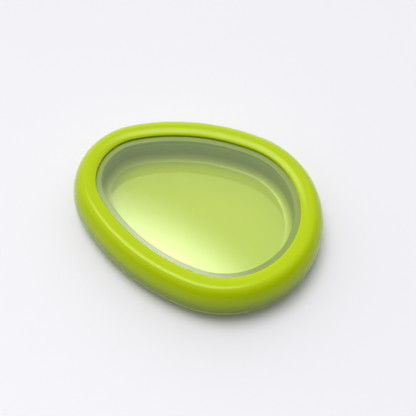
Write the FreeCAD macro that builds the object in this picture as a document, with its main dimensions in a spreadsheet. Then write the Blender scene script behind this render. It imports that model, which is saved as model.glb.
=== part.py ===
"""Egg-shaped food saver pod: a push-fit dish and a lid whose window is a clear stretch film.

Frame: millimetres, +Z up, origin on the table at the centre of the pod's footprint.
The round end points along +X and the narrow end along -X. The XZ plane is the mirror plane.
Every ring-shaped piece is one section, drawn at the round end, carried along the same egg outline.
"""
import FreeCAD, Part
import math
import os
import Sketcher

# ---------------------------------------------------------------- driving sizes
# Each can be changed by itself. Insets are measured inwards from the pod's outer edge.
SIZES = [
    ("pod_length", 130.0),      # narrow end to round end
    ("pod_width", 100.0),       # the round end is a circle of this diameter
    ("narrow_radius", 36.5),    # radius of the narrow end
    ("flank_radius", 109.0),    # radius of the two long flanks
    ("seam_height", 9.0),       # table to the parting line between dish and lid
    ("lid_rise", 14.0),         # parting line to the crest of the rim
    ("crest_inset", 7.2),       # outer edge to the crest
    ("rim_width", 12.5),        # outer edge to the edge of the window
    ("rim_drop", 1.3),          # the crest falls this much towards the window
    ("lip_depth", 0.6),         # upright edge of the rim around the film
    ("shell_wall", 2.0),        # wall of the lid's skirt
    ("seam_gap", 0.2),          # shadow line between skirt and dish
    ("film_gauge", 0.5),        # thickness of the stretch film
    ("film_border", 3.0),       # how far the film runs in under the rim
    ("film_edge_gap", 0.2),     # film edge to the clamp ring's rib
    ("flange_width", 3.0),      # clamp ring that shows through the film
    ("clamp_gauge", 1.4),       # thickness of the clamp ring's flange
    ("clamp_rib", 1.8),         # width of the rib that is welded to the rim
    ("seal_gap", 0.3),          # closed lid: clamp ring to the top of the seal
    ("seal_crown", 1.4),        # seal above the tongue it is pressed on
    ("seal_leg", 2.0),          # depth of the slot in the seal
    ("tongue_wall", 1.0),       # tongue on the dish wall that carries the seal
    ("dish_wall", 2.0),         # upright wall of the dish
    ("wall_setback", 0.95),     # clamp ring reaches in past the dish wall
    ("cove_radius", 4.0),       # hollow corner between dish wall and floor
    ("floor_height", 5.0),      # table to the inside of the dish
    ("floor_gauge", 1.8),       # thickness of the dish floor
    ("foot_width", 1.7),        # flat land the pod stands on
    ("base_wall", 2.0),         # bottom wall of the dish's rounded skirt
    ("lap_gap", 0.25),          # running gap between spigot and skirt
    ("spigot_height", 2.3),     # upstand that centres the lid
    ("spigot_wall", 1.2),
]

# ---------------------------------------------------------------- worked-out sizes
# x values lie on the section at the round end and z values are heights above the table.
WORKED_OUT = [
    ("round_radius", "=pod_width / 2"),
    ("round_centre", "=pod_length / 2 - round_radius"),
    ("narrow_centre", "=pod_length / 2 - narrow_radius"),
    ("edge_x", "=pod_length / 2"),
    ("crest_x", "=edge_x - crest_inset"),
    ("lip_x", "=edge_x - rim_width"),
    ("nose_x", "=lip_x - flange_width"),
    ("crest_z", "=seam_height + lid_rise"),
    ("lip_z", "=crest_z - rim_drop"),
    ("seat_z", "=lip_z - lip_depth"),
    ("skirt_x", "=edge_x - shell_wall"),
    ("skirt_z", "=seam_height + seam_gap"),
    ("film_inset", "=rim_width - film_border"),
    ("film_z", "=seat_z - film_gauge"),
    ("clamp_z", "=film_z - clamp_gauge"),
    ("nose_centre_x", "=nose_x + clamp_gauge / 2"),
    ("nose_centre_z", "=film_z - clamp_gauge / 2"),
    ("rib_inner_x", "=edge_x - film_inset + film_edge_gap"),
    ("rib_outer_x", "=rib_inner_x + clamp_rib"),
    ("wall_inner_x", "=nose_x + wall_setback"),
    ("wall_outer_x", "=wall_inner_x + dish_wall"),
    ("wall_middle_x", "=wall_inner_x + dish_wall / 2"),
    ("tongue_inner_x", "=wall_middle_x - tongue_wall / 2"),
    ("tongue_outer_x", "=wall_middle_x + tongue_wall / 2"),
    ("seal_z", "=clamp_z - seal_gap"),
    ("crown_z", "=seal_z - dish_wall / 2"),
    ("tongue_z", "=seal_z - seal_crown"),
    ("shoulder_z", "=tongue_z - seal_leg"),
    ("cove_x", "=wall_inner_x - cove_radius"),
    ("cove_z", "=floor_height + cove_radius"),
    ("underside_z", "=floor_height - floor_gauge"),
    ("floor_inset", "=edge_x - wall_middle_x"),
    ("table_z", "=0"),
    ("foot_x", "=crest_x - foot_width"),
    ("rise_x", "=foot_x - underside_z"),
    ("spigot_outer_x", "=skirt_x - lap_gap"),
    ("spigot_inner_x", "=spigot_outer_x - spigot_wall"),
    ("spigot_z", "=seam_height + spigot_height"),
]

doc = FreeCAD.newDocument("food_saver_pod")
sheet = doc.addObject("Spreadsheet::Sheet", "Sizes")
for row, (alias, content) in enumerate(SIZES + WORKED_OUT, start=1):
    sheet.set(f"A{row}", alias)
    sheet.set(f"B{row}", str(content))
    sheet.setAlias(f"B{row}", alias)
doc.recompute()

START, END, CENTRE = 1, 2, 3        # the points of a sketch edge
X_AXIS, Y_AXIS = -1, -2             # the axes of a sketch
ORIGIN = (X_AXIS, START)


def size(alias):
    """The present value of one size."""
    return float(sheet.get(alias))


def new_body(name):
    """An empty body whose label names its file."""
    body = doc.addObject("PartDesign::Body", name)
    body.Label = name
    return body


def new_sketch(body, name, plane):
    """A sketch on one of the body's own origin planes."""
    sketch = body.newObject("Sketcher::SketchObject", name)
    support = next(item for item in body.Origin.OriginFeatures if item.Role == plane)
    sketch.AttachmentSupport = [(support, "")]
    sketch.MapMode = "FlatFace"
    return sketch


def bind(sketch, kind, *where, value, to):
    """Add one constraint at its present value and tie it to the sheet."""
    index = sketch.addConstraint(Sketcher.Constraint(kind, *where, value))
    sketch.setExpression(f"Constraints[{index}]", to)


# ---------------------------------------------------------------- the egg outline
def flank_centre():
    """Centre of the flank that touches both end circles, which lie inside it."""
    to_round = size("flank_radius") - size("round_radius")
    to_narrow = size("flank_radius") - size("narrow_radius")
    apart = size("round_centre") + size("narrow_centre")
    along = (apart ** 2 + to_narrow ** 2 - to_round ** 2) / (2 * apart)
    return FreeCAD.Vector(along - size("narrow_centre"), -math.sqrt(to_narrow ** 2 - along ** 2), 0)


def egg_outline(body, name, inset_alias):
    """Closed outline parallel to the pod's outer edge: two end arcs and two flanks, all tangent.

    It starts and ends at the round end on the X axis, where every section is drawn.
    """
    inset = size(inset_alias) if inset_alias else 0.0
    minus = f" - Sizes.{inset_alias}" if inset_alias else ""
    round_centre = FreeCAD.Vector(size("round_centre"), 0, 0)
    narrow_centre = FreeCAD.Vector(-size("narrow_centre"), 0, 0)
    left_flank = flank_centre()
    right_flank = FreeCAD.Vector(left_flank.x, -left_flank.y, 0)
    round_turn = math.atan2(round_centre.y - left_flank.y, round_centre.x - left_flank.x)
    narrow_turn = math.atan2(narrow_centre.y - left_flank.y, narrow_centre.x - left_flank.x)
    full_turn = 2 * math.pi
    arcs = [
        (round_centre, "round_radius", 0.0, round_turn),
        (left_flank, "flank_radius", round_turn, narrow_turn),
        (narrow_centre, "narrow_radius", narrow_turn, full_turn - narrow_turn),
        (right_flank, "flank_radius", full_turn - narrow_turn, full_turn - round_turn),
        (round_centre, "round_radius", full_turn - round_turn, full_turn),
    ]
    sketch = new_sketch(body, name, "XY_Plane")
    up = FreeCAD.Vector(0, 0, 1)
    for centre, radius, first, last in arcs:
        circle = Part.Circle(centre, up, size(radius) - inset)
        sketch.addGeometry(Part.ArcOfCircle(circle, first, last), False)
    last_arc = len(arcs) - 1
    for index in range(last_arc):
        sketch.addConstraint(Sketcher.Constraint("Tangent", index, END, index + 1, START))
    sketch.addConstraint(Sketcher.Constraint("Coincident", last_arc, END, 0, START))
    sketch.addConstraint(Sketcher.Constraint("PointOnObject", 0, START, X_AXIS))
    for index, (centre, radius, first, last) in enumerate(arcs):
        bind(sketch, "Radius", index, value=size(radius) - inset, to=f"Sizes.{radius}{minus}")
    for index in (0, 2, last_arc):
        sketch.addConstraint(Sketcher.Constraint("PointOnObject", index, CENTRE, X_AXIS))
    bind(sketch, "DistanceX", *ORIGIN, 0, CENTRE, value=round_centre.x, to="Sizes.round_centre")
    bind(sketch, "DistanceX", 2, CENTRE, *ORIGIN, value=-narrow_centre.x, to="Sizes.narrow_centre")
    return sketch


# ---------------------------------------------------------------- sections
def corner(names):
    """A section point from its two sizes."""
    x_alias, z_alias = names
    return FreeCAD.Vector(size(x_alias), size(z_alias), 0)


def pin_point(sketch, index, place, names):
    """Tie one point of a section to the sheet."""
    x_alias, z_alias = names
    bind(sketch, "DistanceX", *ORIGIN, index, place, value=size(x_alias), to=f"Sizes.{x_alias}")
    bind(sketch, "DistanceY", *ORIGIN, index, place, value=size(z_alias), to=f"Sizes.{z_alias}")


def quarter_turn(first, last, centre):
    """A quarter of a circle or of an upright ellipse between two points, and its direction."""
    reach_x = max(abs(first.x - centre.x), abs(last.x - centre.x))
    reach_z = max(abs(first.y - centre.y), abs(last.y - centre.y))
    middle = (first + last) * 0.5 - centre
    if middle.y > 0:
        quadrant = 0 if middle.x > 0 else 1
    else:
        quadrant = 3 if middle.x > 0 else 2
    right, top = FreeCAD.Vector(reach_x, 0, 0), FreeCAD.Vector(0, reach_z, 0)
    if math.isclose(reach_x, reach_z):
        curve, turned, kind = Part.Circle(centre, FreeCAD.Vector(0, 0, 1), reach_x), 0, Part.ArcOfCircle
    elif reach_x > reach_z:
        curve, turned, kind = Part.Ellipse(centre + right, centre + top, centre), 0, Part.ArcOfEllipse
    else:
        curve, turned, kind = Part.Ellipse(centre + top, centre - right, centre), 1, Part.ArcOfEllipse
    begin = (quadrant - turned) % 4 * math.pi / 2
    arc = kind(curve, begin, begin + math.pi / 2)
    forwards = arc.StartPoint.isEqual(first, 1e-6)
    return arc, forwards


def settle_bend(sketch, index, centre_names):
    """Hold a bend's centre, and keep an ellipse upright by its long axis."""
    curve = sketch.Geometry[index]
    if isinstance(curve, Part.ArcOfCircle):
        x_alias, z_alias = centre_names
        bind(sketch, "DistanceX", *ORIGIN, index, CENTRE, value=size(x_alias), to=f"Sizes.{x_alias}")
        return
    pin_point(sketch, index, CENTRE, centre_names)
    long_axis = sketch.GeometryCount
    sketch.exposeInternalGeometry(index)
    lies_level = abs(curve.Ellipse.XAxis.x) > abs(curve.Ellipse.XAxis.y)
    sketch.addConstraint(Sketcher.Constraint("Horizontal" if lies_level else "Vertical", long_axis))


def draw_section(body, name, start, steps):
    """A closed section in the XZ plane.

    A step is ("line", point) or ("bend", point, centre), the bend being a quarter of a circle or
    of an ellipse. Points and centres are pairs of sizes.
    """
    sketch = new_sketch(body, name, "XZ_Plane")
    here = start
    edges = []
    for step in steps:
        target = step[1]
        if step[0] == "line":
            edge, forwards = Part.LineSegment(corner(here), corner(target)), True
        else:
            edge, forwards = quarter_turn(corner(here), corner(target), corner(step[2]))
        index = sketch.addGeometry(edge, False)
        edges.append((index, forwards, step))
        here = target
    for (index, forwards, step), (after, after_forwards, _) in zip(edges, edges[1:] + edges[:1]):
        tail = END if forwards else START
        head = START if after_forwards else END
        sketch.addConstraint(Sketcher.Constraint("Coincident", index, tail, after, head))
        pin_point(sketch, index, tail, step[1])
    for index, forwards, step in edges:
        if step[0] == "bend":
            settle_bend(sketch, index, step[2])
    return sketch


def egg_ring(name, start, steps):
    """A body made by carrying one section round the egg outline."""
    body = new_body(name)
    outline = egg_outline(body, name + "_outline", "")
    section = draw_section(body, name + "_section", start, steps)
    doc.recompute()
    ring = body.newObject("PartDesign::AdditivePipe", name + "_ring")
    ring.Profile = section
    ring.Spine = (outline, [])
    ring.Mode = "Frenet"
    doc.recompute()
    return body


def make_lid_shell():
    """The rim: a hollow bead, open below, with a flat underside where the film is bonded."""
    return egg_ring("lid_shell", ("edge_x", "skirt_z"), [
        ("bend", ("crest_x", "crest_z"), ("crest_x", "skirt_z")),
        ("bend", ("lip_x", "lip_z"), ("crest_x", "lip_z")),
        ("line", ("lip_x", "seat_z")),
        ("line", ("crest_x", "seat_z")),
        ("bend", ("skirt_x", "skirt_z"), ("crest_x", "skirt_z")),
        ("line", ("edge_x", "skirt_z")),
    ])


def make_film_clamp_ring():
    """The ring welded under the rim. Its rib surrounds the film and its flange holds it from below."""
    return egg_ring("film_clamp_ring", ("nose_centre_x", "film_z"), [
        ("line", ("rib_inner_x", "film_z")),
        ("line", ("rib_inner_x", "seat_z")),
        ("line", ("rib_outer_x", "seat_z")),
        ("line", ("rib_outer_x", "clamp_z")),
        ("line", ("nose_centre_x", "clamp_z")),
        ("bend", ("nose_x", "nose_centre_z"), ("nose_centre_x", "nose_centre_z")),
        ("bend", ("nose_centre_x", "film_z"), ("nose_centre_x", "nose_centre_z")),
    ])


def make_sealing_ring():
    """The soft seal: a slotted strip with a round crown, pressed over the tongue of the dish wall."""
    return egg_ring("sealing_ring", ("wall_inner_x", "shoulder_z"), [
        ("line", ("wall_inner_x", "crown_z")),
        ("bend", ("wall_middle_x", "seal_z"), ("wall_middle_x", "crown_z")),
        ("bend", ("wall_outer_x", "crown_z"), ("wall_middle_x", "crown_z")),
        ("line", ("wall_outer_x", "shoulder_z")),
        ("line", ("tongue_outer_x", "shoulder_z")),
        ("line", ("tongue_outer_x", "tongue_z")),
        ("line", ("tongue_inner_x", "tongue_z")),
        ("line", ("tongue_inner_x", "shoulder_z")),
        ("line", ("wall_inner_x", "shoulder_z")),
    ])


def flat_plate(body, name, inset_alias, height_alias, gauge_alias):
    """Add a level egg-shaped plate to a body."""
    outline = egg_outline(body, name + "_outline", inset_alias)
    outline.setExpression("AttachmentOffset.Base.z", f"Sizes.{height_alias}")
    plate = body.newObject("PartDesign::Pad", name)
    plate.Profile = outline
    plate.setExpression("Length", f"Sizes.{gauge_alias}")
    doc.recompute()


def make_window_film():
    """The clear film, drawn flat: it bulges up over the food in use."""
    body = new_body("window_film")
    flat_plate(body, "film_sheet", "film_inset", "film_z", "film_gauge")
    return body


def make_base_dish():
    """The dish: floor, hollow corner, upright wall with tongue, and the rounded skirt it stands on."""
    body = egg_ring("base_dish", ("edge_x", "seam_height"), [
        ("bend", ("crest_x", "table_z"), ("crest_x", "seam_height")),
        ("line", ("foot_x", "table_z")),
        ("bend", ("rise_x", "underside_z"), ("foot_x", "underside_z")),
        ("line", ("cove_x", "underside_z")),
        ("line", ("cove_x", "floor_height")),
        ("bend", ("wall_inner_x", "cove_z"), ("cove_x", "cove_z")),
        ("line", ("wall_inner_x", "shoulder_z")),
        ("line", ("tongue_inner_x", "shoulder_z")),
        ("line", ("tongue_inner_x", "tongue_z")),
        ("line", ("tongue_outer_x", "tongue_z")),
        ("line", ("tongue_outer_x", "shoulder_z")),
        ("line", ("wall_outer_x", "shoulder_z")),
        ("line", ("wall_outer_x", "floor_height")),
        ("line", ("rise_x", "floor_height")),
        ("line", ("foot_x", "base_wall")),
        ("bend", ("spigot_inner_x", "seam_height"), ("foot_x", "seam_height")),
        ("line", ("spigot_inner_x", "spigot_z")),
        ("line", ("spigot_outer_x", "spigot_z")),
        ("line", ("spigot_outer_x", "seam_height")),
        ("line", ("edge_x", "seam_height")),
    ])
    flat_plate(body, "dish_floor", "floor_inset", "underside_z", "floor_gauge")
    return body


bodies = [
    make_lid_shell(),
    make_window_film(),
    make_film_clamp_ring(),
    make_sealing_ring(),
    make_base_dish(),
]
doc.recompute()

# ---------------------------------------------------------------- checks and export
for item in doc.Objects:
    if "Invalid" in item.State or "Error" in item.State:
        raise RuntimeError(f"{item.Name} failed to build: {item.State}")
for body in bodies:
    if body.Shape.isNull() or not body.Shape.isValid() or len(body.Shape.Solids) != 1:
        raise RuntimeError(f"{body.Label} is not one valid solid")

os.makedirs("parts", exist_ok=True)
for body in bodies:
    body.Shape.exportStep(f"parts/{body.Label}.step")
    box = body.Shape.BoundBox
    print(f"{body.Label}: {body.Shape.Volume:.0f} mm3, z {box.ZMin:.2f} to {box.ZMax:.2f}")
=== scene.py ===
# %% [markdown]
# # An egg-shaped food saver pod
# The pod is two glossy plastic mouldings that push together: a dish, and a lid whose window is a clear
# stretch film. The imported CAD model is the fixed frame. This script gives every piece its finished
# surface, lights it as a small studio product shot, and places the camera.

# %% Load the frame
import math
import bpy
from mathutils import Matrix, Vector


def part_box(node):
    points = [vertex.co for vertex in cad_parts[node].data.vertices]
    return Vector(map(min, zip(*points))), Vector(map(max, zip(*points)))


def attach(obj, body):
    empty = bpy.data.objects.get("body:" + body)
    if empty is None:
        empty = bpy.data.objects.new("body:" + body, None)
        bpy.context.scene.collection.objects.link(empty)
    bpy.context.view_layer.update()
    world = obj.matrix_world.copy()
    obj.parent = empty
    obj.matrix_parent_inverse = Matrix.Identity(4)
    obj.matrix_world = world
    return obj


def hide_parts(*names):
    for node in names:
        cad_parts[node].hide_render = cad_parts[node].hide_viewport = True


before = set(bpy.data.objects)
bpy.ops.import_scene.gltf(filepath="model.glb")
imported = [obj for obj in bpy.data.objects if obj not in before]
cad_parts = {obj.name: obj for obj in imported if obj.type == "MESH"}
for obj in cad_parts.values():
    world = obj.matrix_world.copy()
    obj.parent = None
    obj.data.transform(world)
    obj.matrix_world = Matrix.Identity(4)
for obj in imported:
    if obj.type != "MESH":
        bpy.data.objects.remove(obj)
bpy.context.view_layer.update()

MM = 0.001

# %% [markdown]
# ## The egg outline
# In plan the pod is a circle at the round end, a smaller circle at the narrow end, and two long flanks
# that touch both. A NURBS curve that follows those arcs is smoother than the arcs themselves, so the
# gloss runs over the joins without a break. Every ring of the pod is one section carried along it.

# %% Sizes of the outline
low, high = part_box("lid_shell")
LENGTH = high.x - low.x
WIDTH = 100.0 * MM
NARROW_RADIUS = 36.5 * MM
FLANK_RADIUS = 109.0 * MM
ROUND_RADIUS = WIDTH / 2
ROUND_CENTRE = Vector((LENGTH / 2 - ROUND_RADIUS, 0))
NARROW_CENTRE = Vector((NARROW_RADIUS - LENGTH / 2, 0))
to_round = FLANK_RADIUS - ROUND_RADIUS
to_narrow = FLANK_RADIUS - NARROW_RADIUS
apart = ROUND_CENTRE.x - NARROW_CENTRE.x
along = (apart ** 2 + to_narrow ** 2 - to_round ** 2) / (2 * apart)
FLANK_CENTRE = Vector((NARROW_CENTRE.x + along, -math.sqrt(to_narrow ** 2 - along ** 2)))
ROUND_TURN = math.atan2(-FLANK_CENTRE.y, ROUND_CENTRE.x - FLANK_CENTRE.x)
NARROW_TURN = math.atan2(-FLANK_CENTRE.y, NARROW_CENTRE.x - FLANK_CENTRE.x)
print("flanks turn from", round(math.degrees(ROUND_TURN)), "to", round(math.degrees(NARROW_TURN)), "degrees")

# %% [markdown]
# The curve needs points that lie evenly round the outline. An outline made of arcs is easy to walk along: the
# direction that it faces says which arc it is on and where. A cubic NURBS runs a little inside its control
# points, so each point is moved outwards by that much. Forty points are few enough to stay smooth.

# %% Points on the outline
CONTROL_POINTS = 40
STEPS_PER_POINT = 6


def on_outline(turn):
    """Point, radius and outward direction where the outline faces `turn`."""
    outward = Vector((math.cos(turn), math.sin(turn)))
    if abs(turn) <= ROUND_TURN:
        return ROUND_CENTRE + outward * ROUND_RADIUS, ROUND_RADIUS, outward
    if abs(turn) >= NARROW_TURN:
        return NARROW_CENTRE + outward * NARROW_RADIUS, NARROW_RADIUS, outward
    centre = Vector((FLANK_CENTRE.x, math.copysign(FLANK_CENTRE.y, -turn)))
    return centre + outward * FLANK_RADIUS, FLANK_RADIUS, outward


def even_turns(count):
    """Facing directions of evenly spaced points round the outline."""
    arcs = [(ROUND_RADIUS, ROUND_TURN), (FLANK_RADIUS, NARROW_TURN - ROUND_TURN),
            (NARROW_RADIUS, 2 * (math.pi - NARROW_TURN)),
            (FLANK_RADIUS, NARROW_TURN - ROUND_TURN), (ROUND_RADIUS, ROUND_TURN)]
    total = sum(radius * angle for radius, angle in arcs)
    turns = []
    for index in range(count):
        distance = total * index / count
        turn = 0.0
        for radius, angle in arcs:
            if distance <= radius * angle:
                turn += distance / radius
                break
            distance -= radius * angle
            turn += angle
        turns.append(turn if turn <= math.pi else turn - 2 * math.pi)
    return turns, total / count


def egg_path():
    """The outline as a closed NURBS curve that lies on the table plane."""
    bpy.ops.object.select_all(action="DESELECT")
    bpy.ops.curve.primitive_nurbs_circle_add(radius=ROUND_RADIUS)
    path = bpy.context.object
    path.data.dimensions = "2D"
    path.data.splines.clear()
    spline = path.data.splines.new("NURBS")
    turns, spacing = even_turns(CONTROL_POINTS)
    spline.points.add(len(turns) - 1)
    for point, turn in zip(spline.points, turns):
        place, radius, outward = on_outline(turn)
        place = place + outward * spacing ** 2 / (6 * radius)   # a cubic cuts inside its points by this
        point.co = (place.x, place.y, 0, 1)
    spline.use_cyclic_u = True
    spline.order_u = 4
    spline.resolution_u = STEPS_PER_POINT
    path.data.resolution_u = STEPS_PER_POINT
    path.data.fill_mode = "NONE"
    return path


# %% [markdown]
# ## Sections
# A section is a chain of straight runs and quarter ellipses, given as insets from the pod's outer edge
# and heights above the table, in millimetres. Blender carries it along the path as a bevel object, and
# the result becomes a mesh. Where a section is open, the two rims that it leaves are filled flat.

# %% Bends and chains
BEND_STEPS = 14


def quarter(start, end, centre):
    """Points of a quarter ellipse from start to end, start left out."""
    level_start = math.isclose(start[1], centre[1], abs_tol=1e-6)
    points = []
    for index in range(1, BEND_STEPS + 1):
        angle = math.pi / 2 * index / BEND_STEPS
        share_start, share_end = math.cos(angle), math.sin(angle)
        if level_start:
            points.append((centre[0] + (start[0] - centre[0]) * share_start,
                           centre[1] + (end[1] - centre[1]) * share_end))
        else:
            points.append((centre[0] + (end[0] - centre[0]) * share_end,
                           centre[1] + (start[1] - centre[1]) * share_start))
    return points


def chain(start, *steps):
    """A section's points. A step is an end point, or (end point, centre) for a bend."""
    points = [start]
    for step in steps:
        if isinstance(step[0], tuple):
            points += quarter(points[-1], *step)
        else:
            points.append(step)
    return points


# %% [markdown]
# The sweep could also be modelled face by face with extrude, but a curve with a bevel object keeps the section
# square to the path all the way round. Converting it gives an ordinary mesh at the origin, unturned and
# unscaled. Doubled points are merged, and the normals are recalculated so that every face points outwards.

# %% The sweep
MERGE_MM = 0.002
SMOOTH_ANGLE = math.radians(32)


def measured(piece):
    """A piece's faces and its extent in mm, for the printed notes."""
    corners = [Vector(corner) / MM for corner in piece.bound_box]
    lowest = [round(min(corner[axis] for corner in corners), 2) for axis in range(3)]
    highest = [round(max(corner[axis] for corner in corners), 2) for axis in range(3)]
    return f"{piece.name}: {len(piece.data.polygons)} faces, from {lowest} to {highest} mm"


def swept(name, section, closed):
    """One mesh object made by carrying a section along the egg outline."""
    path = egg_path()
    data = bpy.data.curves.new(name + "_section", "CURVE")
    data.dimensions = "2D"
    spline = data.splines.new("POLY")
    spline.points.add(len(section) - 1)
    for point, (inset, height) in zip(spline.points, section):
        point.co = (inset * MM, height * MM, 0, 1)
    spline.use_cyclic_u = closed
    profile = bpy.data.objects.new(name + "_section", data)
    bpy.context.scene.collection.objects.link(profile)
    path.data.bevel_mode = "OBJECT"
    path.data.bevel_object = profile
    bpy.ops.object.convert(target="MESH")
    piece = bpy.context.object
    piece.name = name
    bpy.data.objects.remove(profile)
    bpy.ops.object.mode_set(mode="EDIT")
    bpy.ops.mesh.select_all(action="SELECT")
    bpy.ops.mesh.remove_doubles(threshold=MERGE_MM * MM)
    if not closed:
        bpy.ops.mesh.fill_holes(sides=0)
    bpy.ops.mesh.select_all(action="SELECT")
    bpy.ops.mesh.normals_make_consistent(inside=False)
    bpy.ops.object.mode_set(mode="OBJECT")
    bpy.ops.object.shade_smooth_by_angle(angle=SMOOTH_ANGLE)
    return piece


# %% [markdown]
# ## The pieces
# Heights repeat the CAD model's, so each visible piece stands exactly where its CAD node is: the rim on
# the parting line, the film 1.9 mm below the crest, and the dish floor 16 mm below the film. Mould edges
# get small rounds here, because no moulded edge is sharp and the round is what catches the light.

# %% Sizes that the pieces share, in millimetres
CREST_INSET = 7.2   # from the outer edge in to the highest line of the rim
RIM_WIDTH = 12.5    # from the outer edge in to the window
SEAT = 21.1         # height of the ledge that the film lies against
FILM_UNDER = 20.6   # underside of the film
EDGE_ROUND = 0.35   # radius on the mould edges
print("crest", round(high.z / MM, 2), "mm up, film", round(SEAT - FILM_UNDER, 2), "mm thick")

# %% [markdown]
# ## The rim
# The rim is the lid's fat rounded bead. It is hollow and open below, as a moulding has to be, so that no wall
# is thick enough to sink. Its outside is one quarter ellipse up to the crest and a flatter one in to the
# window. One closed section gives the outer skin, the lip, the ledge for the film and the inner skin.

# %% The rim
SKIRT = 9.2         # lowest edge of the rim, just above the parting line
LIP = 21.7          # top of the lip round the window
SHELL_WALL = 2.0
CREST = high.z / MM
rim = swept("rim", chain(
    (0.0, SKIRT + EDGE_ROUND),
    ((CREST_INSET, CREST), (CREST_INSET, SKIRT + EDGE_ROUND)),
    ((RIM_WIDTH, LIP), (CREST_INSET, LIP)),
    (RIM_WIDTH, SEAT),
    (CREST_INSET, SEAT),
    ((SHELL_WALL, SKIRT + EDGE_ROUND), (CREST_INSET, SKIRT + EDGE_ROUND)),
    ((SHELL_WALL - EDGE_ROUND, SKIRT), (SHELL_WALL - EDGE_ROUND, SKIRT + EDGE_ROUND)),
    (EDGE_ROUND, SKIRT),
    ((0.0, SKIRT + EDGE_ROUND), (EDGE_ROUND, SKIRT + EDGE_ROUND)),
)[:-1], True)
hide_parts("lid_shell")
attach(rim, "lid")
print(measured(rim))

# %% [markdown]
# ## The film
# The window is one thin sheet that stretches over the fruit. It lies against a ledge of the rim, on the clamp
# ring that holds it from below. Only its edge needs a section; the middle is filled flat, above and below. A
# hair's breadth of air keeps the film and the ring apart, so that neither flickers through the other.

# %% The film
FILM_EDGE = 9.5     # inset of the film's hidden outer edge
FILM_MIDDLE = 18.5  # inset at which the flat middle takes over
NOSE = 15.5         # inset of the clamp ring's inner edge
HAIR = 0.02
film = swept("stretch_film", [
    (FILM_MIDDLE, SEAT),
    (NOSE, SEAT),
    (FILM_EDGE, SEAT),
    (FILM_EDGE, FILM_UNDER + HAIR),
    (FILM_MIDDLE, FILM_UNDER + HAIR),
], False)
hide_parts("window_film")
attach(film, "lid")
print(measured(film))

# %% [markdown]
# ## The clamp ring
# The clamp ring is welded under the rim and traps the film's edge. Its rib meets the ledge outside the film,
# and its inner edge is a full round that reaches a little further in than the rim does, so it is seen
# through the window. The round is two quarter bends of the same closed section.

# %% The clamp ring
CLAMP_OUTER = 7.5   # inset of the rib's outer face
CLAMP_STEP = 9.3    # inset of the rib's inner face, just clear of the film's edge
CLAMP_UNDER = 19.2
nose_round = (FILM_UNDER - CLAMP_UNDER) / 2
nose_inner = NOSE - nose_round
nose_middle = FILM_UNDER - nose_round
clamp_ring = swept("clamp_ring", chain(
    (nose_inner, FILM_UNDER),
    (CLAMP_STEP, FILM_UNDER),
    (CLAMP_STEP, SEAT),
    (CLAMP_OUTER, SEAT),
    (CLAMP_OUTER, CLAMP_UNDER),
    (nose_inner, CLAMP_UNDER),
    ((NOSE, nose_middle), (nose_inner, nose_middle)),
    ((nose_inner, FILM_UNDER), (nose_inner, nose_middle)),
)[:-1], True)
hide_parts("film_clamp_ring")
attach(clamp_ring, "lid")
print(measured(clamp_ring))

# %% [markdown]
# ## The seal
# A soft ring sits on the dish wall and closes the gap to the lid. It is a small arch in section: two legs
# straddle a thin tongue on top of the wall, and the crown is round. The wall and the tongue share their
# sizes with the dish, so the seal fits it face to face.

# %% The seal
WALL_OUTER, WALL_MIDDLE, WALL_INNER = 12.55, 13.55, 14.55
TONGUE_OUTER, TONGUE_INNER = WALL_MIDDLE - 0.5, WALL_MIDDLE + 0.5
SHOULDER = 15.5     # top of the dish wall
TONGUE_TOP = 17.5
CROWN = 17.9        # height at which the seal's round begins
SEAL_TOP = 18.9
seal = swept("seal", chain(
    (WALL_INNER, SHOULDER),
    (WALL_INNER, CROWN),
    ((WALL_MIDDLE, SEAL_TOP), (WALL_MIDDLE, CROWN)),
    ((WALL_OUTER, CROWN), (WALL_MIDDLE, CROWN)),
    (WALL_OUTER, SHOULDER),
    (TONGUE_OUTER, SHOULDER),
    (TONGUE_OUTER, TONGUE_TOP),
    (TONGUE_INNER, TONGUE_TOP),
    (TONGUE_INNER, SHOULDER),
), True)
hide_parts("sealing_ring")
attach(seal, "dish")
print(measured(seal))

# %% [markdown]
# ## The dish
# The dish has a flat floor, an upright wall that meets the floor in a cove, and a rounded skirt that carries
# the spigot for the lid. Its section starts and ends at the floor. Filling the two rims that the sweep leaves
# makes the flat floor and the flat underside in one go, and the dish is a closed solid.

# %% The dish
SEAM = 9.0          # parting line
SPIGOT_OUTER, SPIGOT_INNER, SPIGOT_TOP = 2.25, 3.45, 11.3
FLOOR, UNDERSIDE = 5.0, 3.2
BASE_WALL = 2.0
COVE = 4.0          # radius between floor and wall
FOOT = 8.9          # inset of the foot's inner edge
RISE = FOOT + UNDERSIDE
FLOOR_EDGE = WALL_INNER + COVE + 1
dish = swept("dish", chain(
    (FLOOR_EDGE, UNDERSIDE),
    (RISE, UNDERSIDE),
    ((FOOT, 0.0), (FOOT, UNDERSIDE)),
    (CREST_INSET, 0.0),
    ((0.0, SEAM - EDGE_ROUND), (CREST_INSET, SEAM - EDGE_ROUND)),
    ((EDGE_ROUND, SEAM), (EDGE_ROUND, SEAM - EDGE_ROUND)),
    (SPIGOT_OUTER, SEAM),
    (SPIGOT_OUTER, SPIGOT_TOP),
    (SPIGOT_INNER, SPIGOT_TOP),
    (SPIGOT_INNER, SEAM),
    ((FOOT, BASE_WALL), (FOOT, SEAM)),
    (RISE, FLOOR),
    (WALL_OUTER, FLOOR),
    (WALL_OUTER, SHOULDER),
    (TONGUE_OUTER, SHOULDER),
    (TONGUE_OUTER, TONGUE_TOP),
    (TONGUE_INNER, TONGUE_TOP),
    (TONGUE_INNER, SHOULDER),
    (WALL_INNER, SHOULDER),
    (WALL_INNER, FLOOR + COVE),
    ((WALL_INNER + COVE, FLOOR), (WALL_INNER + COVE, FLOOR + COVE)),
    (FLOOR_EDGE, FLOOR),
), False)
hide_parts("base_dish")
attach(dish, "dish")
print(measured(dish))

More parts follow.
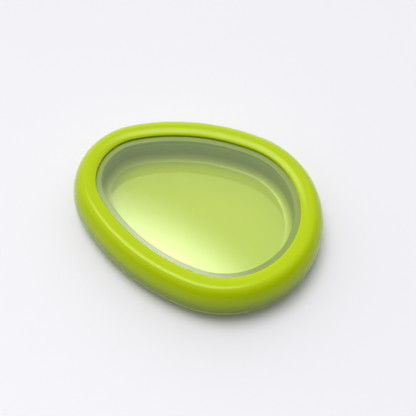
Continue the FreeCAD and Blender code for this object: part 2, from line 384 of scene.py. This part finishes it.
# %% [markdown]
# ## Materials
# Colours are written as sRGB hex values, as a designer picks them, and one function turns them linear.
# One more function adds a node with its settings and links.

# %% Material helpers
def linear(hex_colour):
    """A hex colour as linear RGBA."""
    channels = [int(hex_colour[index:index + 2], 16) / 255 for index in (0, 2, 4)]
    return [c / 12.92 if c <= 0.04045 else ((c + 0.055) / 1.055) ** 2.4 for c in channels] + [1.0]


def node(tree, kind, settings=None, **sockets):
    """Add a node. A socket gets a value, or a link where the value is another node's output."""
    made = tree.nodes.new(kind)
    for name, value in (settings or {}).items():
        setattr(made, name, value)
    for name, value in sockets.items():
        socket = made.inputs[int(name[1:])] if name[1:].isdigit() else made.inputs[name.replace("_", " ")]
        if isinstance(value, bpy.types.NodeSocket):
            tree.links.new(value, socket)
        else:
            socket.default_value = value
    return made


def new_material(name):
    """An empty node material and its output node."""
    material = bpy.data.materials.new(name)
    material.use_nodes = True
    material.node_tree.nodes.clear()
    return material, material.node_tree, material.node_tree.nodes.new("ShaderNodeOutputMaterial")


def dress(piece, material):
    """Give a piece its one material."""
    piece.data.materials.clear()
    piece.data.materials.append(material)
    print(piece.name, "is", material.name)


# %% [markdown]
# ## Polished ABS
# The rim, clamp ring and dish are ABS, injection moulded in a polished tool. That gives a deep even
# colour, sharp reflections, a faint long ripple where the plastic shrank, and a few specks of dust. One
# function makes all three, because they differ only in tone and polish. A real moulding has one colour all
# over. Here the tone also changes with height, which is a liberty: painted shade darkens the dish wall and the
# rim's skirt beyond what the light alone gives, and painted light makes the rim's top and the dish floor
# paler.
# The shader itself is opaque.

# %% Scales of the plastic's patterns, in millimetres
TONE_MM = 30.0      # slow change of tone in the melt
RIPPLE_MM = 14.0    # shrink ripple
GRAIN_MM = 0.35     # polish marks, drawn coarser than real ones so that they show
DUST_MM = 2.6       # spacing of the cells that may hold a speck
DUST_CHOSEN = 0.985  # a cell above this share has one
# The ellipse sized below marks the dish floor that gets painted light.
WELL_LENGTH, WELL_WIDTH = 56.0, 43.0   # half sizes of an ellipse that holds the dish's floor and wall
COVE_START = 0.04   # height over which the skin turns from polished to matt

# %% The plastic
def polished_abs(name, colour, deeper, roughness, shine, index=1.53, painted_shading_upper=None, start=0.0, end=1.0,
                 matt=0.0, painted_floor_light=None):
    """Glossy moulded ABS. Between two heights in mm it may change to a second colour that paints shading,
    lighter or darker higher up, and to a matter skin; a third colour paints light on a floor inside it."""
    material, tree, output = new_material(name)
    place = node(tree, "ShaderNodeTexCoord").outputs["Object"]
    tone = node(tree, "ShaderNodeTexNoise", Vector=place, Scale=1 / (TONE_MM * MM), Detail=2.0)
    ramp = node(tree, "ShaderNodeMapRange", Value=tone.outputs["Fac"], From_Min=0.35, From_Max=0.65)
    blend = node(tree, "ShaderNodeMix", {"data_type": "RGBA"}, _0=ramp.outputs["Result"],
                 _6=linear(colour), _7=linear(deeper)).outputs[2]
    height = node(tree, "ShaderNodeSeparateXYZ", Vector=place).outputs["Z"]
    # Painted shading: between the two heights the colour turns to a lighter or darker one, as the light would
    # make it.
    painted_shading_climb = node(tree, "ShaderNodeMapRange", {"interpolation_type": "SMOOTHSTEP"}, Value=height,
                 From_Min=start * MM, From_Max=end * MM, To_Max=1.0 if painted_shading_upper else 0.0).outputs["Result"]
    blend = node(tree, "ShaderNodeMix", {"data_type": "RGBA"}, _0=painted_shading_climb,
                 _6=blend, _7=linear(painted_shading_upper or colour)).outputs[2]
    # Painted light: inside an ellipse round the dish floor, at floor level, a paler colour that fades out up
    # the wall.
    across_well = node(tree, "ShaderNodeVectorMath", {"operation": "MULTIPLY"}, _0=place,
                       _1=(1 / (WELL_LENGTH * MM), 1 / (WELL_WIDTH * MM), 0.0))
    reach = node(tree, "ShaderNodeVectorMath", {"operation": "LENGTH"}, _0=across_well.outputs["Vector"])
    in_well = node(tree, "ShaderNodeMapRange", Value=reach.outputs["Value"], From_Min=0.99, From_Max=1.05,
                   To_Min=1.0 if painted_floor_light else 0.0, To_Max=0.0)
    painted_floor_light_mask = node(tree, "ShaderNodeMath", {"operation": "MULTIPLY_ADD", "use_clamp": True},
                    _0=painted_shading_climb, _1=-1.0, _2=in_well.outputs["Result"])
    blend = node(tree, "ShaderNodeMix", {"data_type": "RGBA"}, _0=painted_floor_light_mask.outputs["Value"],
                 _6=blend, _7=linear(painted_floor_light or colour)).outputs[2]
    dust = node(tree, "ShaderNodeTexVoronoi", Vector=place, Scale=1 / (DUST_MM * MM))
    speck = node(tree, "ShaderNodeMapRange", Value=dust.outputs["Distance"],
                 From_Min=0.03, From_Max=0.045, To_Min=1.0, To_Max=0.0)
    rare = node(tree, "ShaderNodeSeparateColor", Color=dust.outputs["Color"])
    chosen = node(tree, "ShaderNodeMath", {"operation": "GREATER_THAN"}, _0=rare.outputs["Red"],
                  _1=DUST_CHOSEN)
    on_dust = node(tree, "ShaderNodeMath", {"operation": "MULTIPLY"},
                   _0=speck.outputs["Result"], _1=chosen.outputs["Value"])
    dusted = node(tree, "ShaderNodeMix", {"data_type": "RGBA"}, _0=on_dust.outputs["Value"],
                  _6=blend, _7=linear("E8EDC8"))
    grain = node(tree, "ShaderNodeTexNoise", Vector=place, Scale=1 / (GRAIN_MM * MM), Detail=1.0)
    rough = node(tree, "ShaderNodeMapRange", Value=grain.outputs["Fac"],
                 To_Min=roughness * 0.8, To_Max=roughness * 1.2)
    rougher = node(tree, "ShaderNodeMath", {"operation": "ADD"},
                   _0=rough.outputs["Result"], _1=on_dust.outputs["Value"])
    cove = node(tree, "ShaderNodeMapRange", Value=height, From_Min=start * MM,
                From_Max=(start + COVE_START) * MM)
    skin = node(tree, "ShaderNodeMath", {"operation": "MULTIPLY_ADD"},
                _0=cove.outputs["Result"], _1=matt, _2=rougher.outputs["Value"])
    ripple = node(tree, "ShaderNodeTexNoise", Vector=place, Scale=1 / (RIPPLE_MM * MM), Detail=0.0)
    bump = node(tree, "ShaderNodeBump", Height=ripple.outputs["Fac"], Strength=0.12, Distance=0.5 * MM)
    # The gloss is tinted a little, so that it does not grey the green.
    shader = node(tree, "ShaderNodeBsdfPrincipled", Base_Color=dusted.outputs[2],
                  Roughness=skin.outputs["Value"], Normal=bump.outputs["Normal"], IOR=index,
                  Specular_IOR_Level=shine, Specular_Tint=linear("F4FFC8"))
    tree.links.new(shader.outputs["BSDF"], output.inputs["Surface"])
    return material


# %% [markdown]
# These tones are set to be judged together under this light. The rim is the brightest part, with painted
# light on its top and painted shade that makes it deeper toward its skirt. The clamp ring is a deeper green,
# so that it reads as a band under the film. The dish has a pale floor, which is painted light, with a stronger
# mirror than ABS gives (ABS has an index near 1.53), and its cove and wall are matter and darker with painted
# shade.

# %% Dress the plastic pieces
# Painted light and shade: the rim is paler above 17.5 mm and darker on its skirt.
dress(rim, polished_abs("abs_lime_polished", "809604", "7C9204", 0.12, 0.28,
                        painted_shading_upper="B2CA04", start=9.5, end=17.5))
dress(clamp_ring, polished_abs("abs_lime_clamp_ring", "8CA012", "889C10", 0.35, 0.4))
# Painted shade darkens the dish's wall and the top of its skirt; painted light makes its floor pale.
dress(dish, polished_abs("abs_lime_dish", "9CB204", "98AE04", 0.03, 1.0, index=1.65, painted_shading_upper="8CA004",
                         start=FLOOR, end=SEAM + 0.5, matt=0.4, painted_floor_light="CADC14"))

# %% [markdown]
# ## Clear film
# The window is cast polyurethane film, half a millimetre thick. Almost all light goes straight through,
# and its smooth faces mirror the room by Fresnel's law. Mixing a clear shader with a gloss one keeps
# shadows and the view through it clean. Seen from inside the sheet, a face would mirror everything at a low
# angle, because this clear shader does not bend light, so only the outer side mirrors, for both faces.

# %% Clear film
FACES_SEEN = 2.3    # two faces, and a little more
SLACK_MM = 38.0     # slow waves where the film is not quite taut


def clear_film():
    """Thin clear film: see-through, with the mirror reflections of its two faces."""
    material, tree, output = new_material("polyurethane_film_clear")
    place = node(tree, "ShaderNodeTexCoord").outputs["Object"]
    slack = node(tree, "ShaderNodeTexNoise", Vector=place, Scale=1 / (SLACK_MM * MM), Detail=0.0)
    bump = node(tree, "ShaderNodeBump", Height=slack.outputs["Fac"], Strength=0.05, Distance=1 * MM)
    mirror = node(tree, "ShaderNodeFresnel", IOR=1.55, Normal=bump.outputs["Normal"])
    clear = node(tree, "ShaderNodeBsdfTransparent", Color=linear("FAFCF6"))
    gloss = node(tree, "ShaderNodeBsdfGlossy", Color=linear("FFFFFF"), Roughness=0.02,
                 Normal=bump.outputs["Normal"])
    inside = node(tree, "ShaderNodeNewGeometry").outputs["Backfacing"]
    outside = node(tree, "ShaderNodeMath", {"operation": "SUBTRACT"}, _0=1.0, _1=inside)
    shine = node(tree, "ShaderNodeMath", {"operation": "MULTIPLY"}, _0=outside.outputs["Value"],
                 _1=FACES_SEEN)
    share = node(tree, "ShaderNodeMath", {"operation": "MULTIPLY", "use_clamp": True},
                 _0=mirror.outputs["Fac"], _1=shine.outputs["Value"])
    mixed = node(tree, "ShaderNodeMixShader", _0=share.outputs["Value"], _1=clear.outputs["BSDF"],
                 _2=gloss.outputs["BSDF"])
    tree.links.new(mixed.outputs["Shader"], output.inputs["Surface"])
    return material


dress(film, clear_film())

# %% [markdown]
# ## Silicone
# The seal is silicone rubber from a mould with a fine matt surface. It has the same green as the plastic and
# a soft sheen. A fine noise breaks up both the tone and the surface, as sparking the mould does.

# %% Silicone
SPARK_MM = 0.4      # grain of the mould, drawn coarse enough to show


def silicone():
    """Matt moulded silicone."""
    material, tree, output = new_material("silicone_green_matt")
    place = node(tree, "ShaderNodeTexCoord").outputs["Object"]
    grain = node(tree, "ShaderNodeTexNoise", Vector=place, Scale=1 / (SPARK_MM * MM), Detail=2.0)
    bump = node(tree, "ShaderNodeBump", Height=grain.outputs["Fac"], Strength=0.2, Distance=0.05 * MM)
    tone = node(tree, "ShaderNodeMix", {"data_type": "RGBA"}, _0=grain.outputs["Fac"],
                _6=linear("A4BC16"), _7=linear("9CB412"))
    shader = node(tree, "ShaderNodeBsdfPrincipled", Base_Color=tone.outputs[2], Roughness=0.45,
                  Normal=bump.outputs["Normal"], IOR=1.41)
    tree.links.new(shader.outputs["BSDF"], output.inputs["Surface"])
    return material


dress(seal, silicone())

# %% [markdown]
# ## The table
# The pod stands on a plain white laminate table, wide enough to reach the horizon in a low view.

# %% Table
bpy.ops.object.select_all(action="DESELECT")
TABLE_SIZE = 40.0
bpy.ops.mesh.primitive_plane_add(size=TABLE_SIZE)
table = bpy.context.object
table.name = "table"
material, tree, output = new_material("table_white_laminate")
shader = node(tree, "ShaderNodeBsdfPrincipled", Base_Color=linear("E8E7EC"), Roughness=0.5)
tree.links.new(shader.outputs["BSDF"], output.inputs["Surface"])
dress(table, material)

# %% [markdown]
# ## The light
# The room is a soft dome, brighter above and behind than in front, which darkens the near side. One soft
# box hangs overhead, a little behind and to the left, and draws the bright line along the crest and the
# broad sheen on the film. Both are written as brightness by direction in the world, because a lamp's edge
# would show in the film. The backdrop that the camera sees directly is plain and pale.

# %% Directions as the camera sees them
AZIMUTH, ELEVATION = math.radians(23.7), math.radians(61.5)
away = Vector((-math.sin(AZIMUTH), math.cos(AZIMUTH), 0))
across = Vector((math.cos(AZIMUTH), math.sin(AZIMUTH), 0))
up = Vector((0, 0, 1))
print("camera", round(math.degrees(ELEVATION), 1), "degrees up")

# %% Dome and soft box
world = bpy.data.worlds.new("studio")
bpy.context.scene.world = world
world.use_nodes = True
tree = world.node_tree
tree.nodes.clear()
direction = node(tree, "ShaderNodeTexCoord").outputs["Generated"]


def glow(toward, start_degrees, full_degrees, low, high):
    """Radiance that rises smoothly from low to high as a direction turns toward a bright spot."""
    facing = node(tree, "ShaderNodeVectorMath", {"operation": "DOT_PRODUCT"},
                  _0=direction, _1=toward.normalized())
    return node(tree, "ShaderNodeMapRange", {"interpolation_type": "SMOOTHSTEP"},
                Value=facing.outputs["Value"], From_Min=math.cos(math.radians(start_degrees)),
                From_Max=math.cos(math.radians(full_degrees)), To_Min=low, To_Max=high).outputs["Result"]


DOME_LOW, DOME_HIGH, BOX_BRIGHT = 0.08, 0.92, 6.5
BACKDROP = 0.92
dome = glow(away * 0.9 + up - across * 0.25, 105, 25, DOME_LOW, DOME_HIGH)
soft_box = glow(up + away * 0.21 - across * 0.18, 20, 9, 0.0, BOX_BRIGHT)
both = node(tree, "ShaderNodeMath", {"operation": "ADD"}, _0=dome, _1=soft_box)
seen = node(tree, "ShaderNodeLightPath").outputs["Is Camera Ray"]
strength = node(tree, "ShaderNodeMix", {"data_type": "FLOAT"}, _0=seen, _2=both.outputs["Value"],
                _3=BACKDROP)
light = node(tree, "ShaderNodeBackground", Color=linear("FFFFFF"), Strength=strength.outputs[0])
node(tree, "ShaderNodeOutputWorld", Surface=light.outputs["Background"])
print("dome", DOME_LOW, "to", DOME_HIGH, "soft box", BOX_BRIGHT)

# %% [markdown]
# ## The camera
# The camera looks down steeply at the middle of the pod from close by, with a moderately long lens. A small
# shift moves the pod a little off centre without tilting the view.

# %% Camera
DISTANCE = 0.414
FOCAL_MM = 69.2
camera = bpy.data.cameras.new("camera")
camera.lens = FOCAL_MM
camera.sensor_width = 36.0
camera.shift_x = 0.0288
camera.shift_y = 0.0248
camera_object = bpy.data.objects.new("camera", camera)
bpy.context.scene.collection.objects.link(camera_object)
toward_camera = up * math.sin(ELEVATION) - away * math.cos(ELEVATION)
camera_object.location = toward_camera * DISTANCE
camera_object.rotation_euler = (-toward_camera).to_track_quat("-Z", "Y").to_euler()
bpy.context.scene.camera = camera_object
bpy.context.scene.view_settings.view_transform = "Standard"
print("camera at", [round(value, 3) for value in camera_object.location], "m")
